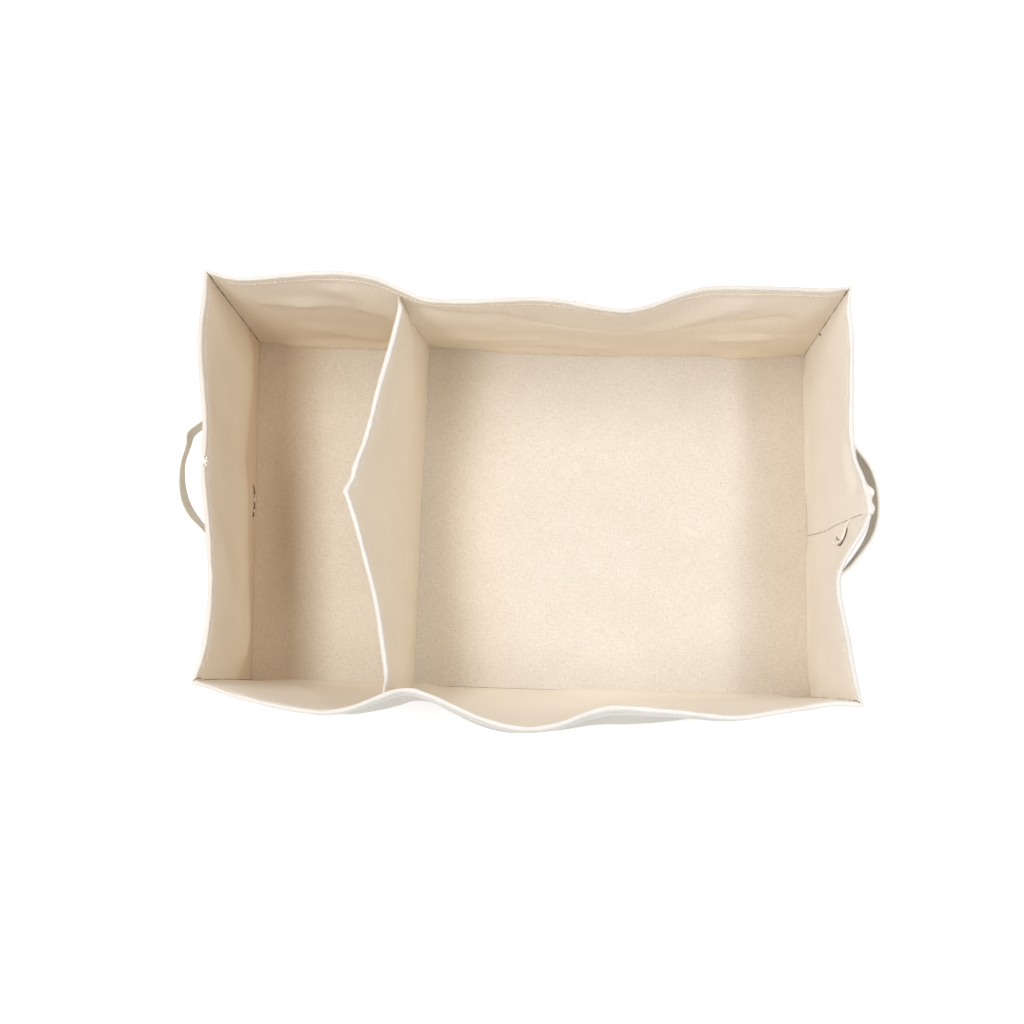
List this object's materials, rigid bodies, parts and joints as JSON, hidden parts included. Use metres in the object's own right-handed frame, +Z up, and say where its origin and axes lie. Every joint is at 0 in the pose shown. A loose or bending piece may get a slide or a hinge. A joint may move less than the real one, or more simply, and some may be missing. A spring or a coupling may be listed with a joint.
{
  "type": "canvas storage bin",
  "caption": "Open rectangular lined canvas bin with soft wavy walls, a taped rim, a sewn cross divider and a strap handle on each short end.",
  "frame": {"origin": "centre of the underside of the bottom panel", "axes": "+X along the bin, from the small compartment's end to the large one's, +Y to the back wall, +Z up"},
  "size_m": [0.5368, 0.3489, 0.2],
  "materials": {
    "outer_canvas": "matt natural canvas",
    "lining_canvas": "matt slubbed natural canvas",
    "binding_tape": "matt off-white cotton tape",
    "stiffener": "pressed felt interlining",
    "base_board": "grey paperboard",
    "strap_webbing": "matt cotton webbing",
    "thread": "cotton sewing thread"
  },
  "bodies": {
    "bin": {"outer_back": "outer_canvas", "outer_right": "outer_canvas", "outer_front": "outer_canvas", "outer_left": "outer_canvas", "stiffener_back": "stiffener", "lining_back": "lining_canvas", "stiffener_front": "stiffener", "lining_front": "lining_canvas", "stiffener_right_back": "stiffener", "lining_right_back": "lining_canvas", "stiffener_right_front": "stiffener", "lining_right_front": "lining_canvas", "stiffener_left_front": "stiffener", "lining_left_front": "lining_canvas", "stiffener_left_back": "stiffener", "lining_left_back": "lining_canvas", "outer_bottom": "outer_canvas", "base_board": "base_board", "lining_floor": "lining_canvas", "rim_binding": "binding_tape", "corner_binding_back_left": "binding_tape", "corner_binding_back_right": "binding_tape", "corner_binding_front_right": "binding_tape", "corner_binding_front_left": "binding_tape", "divider_face_left": "lining_canvas", "divider_face_right": "lining_canvas", "divider_stiffener_back": "stiffener", "divider_stiffener_front": "stiffener", "divider_binding": "binding_tape", "left_handle_tab_front": "strap_webbing", "left_handle_stitch_front": "thread", "left_handle_tab_back": "strap_webbing", "left_handle_stitch_back": "thread", "right_handle_tab_back": "strap_webbing", "right_handle_stitch_back": "thread", "right_handle_tab_front": "strap_webbing", "right_handle_stitch_front": "thread"},
    "left_handle": {"left_handle_loop": "strap_webbing"},
    "right_handle": {"right_handle_loop": "strap_webbing"}
  },
  "joints": [
    {"name": "left_handle_swing", "type": "hinge", "parent": "bin", "child": "left_handle", "pos_m": [-0.254, 0.0145, 0.1502], "axis": [0, 1, 0], "range_deg": [-45, 45]},
    {"name": "right_handle_swing", "type": "hinge", "parent": "bin", "child": "right_handle", "pos_m": [0.254, -0.0085, 0.1502], "axis": [0, -1, 0], "range_deg": [-45, 45]}
  ]
}
